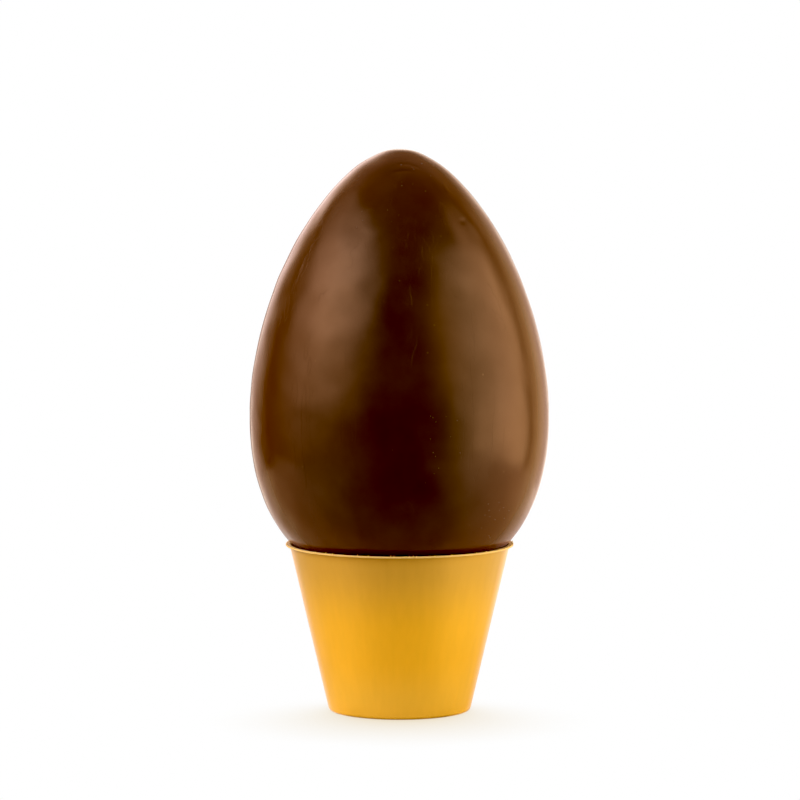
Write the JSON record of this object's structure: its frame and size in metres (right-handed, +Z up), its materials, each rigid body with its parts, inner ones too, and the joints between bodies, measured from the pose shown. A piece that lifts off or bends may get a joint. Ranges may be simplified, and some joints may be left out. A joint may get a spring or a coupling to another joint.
{
  "type": "chocolate egg in a cup",
  "caption": "Smooth chocolate egg, point up, seated in the rolled-out mouth of a thin tapered gold plastic cup that stands it on a table.",
  "frame": {"origin": "the middle of the cup's foot, on the surface that the cup stands on", "axes": "+Z up the shared axis of the egg and the cup, -Y towards the front; the egg's two halves meet in an upright plane turned 3 degrees from +X"},
  "size_m": [0.1052, 0.105, 0.1977],
  "materials": {
    "chocolate": "satin moulded milk chocolate, slightly wavy, with fine scratches and specks",
    "gold_plastic": "satin gold thermoformed plastic sheet with a cut lip"
  },
  "bodies": {
    "root": {"egg": "chocolate", "cup": "gold_plastic"}
  },
  "joints": []
}
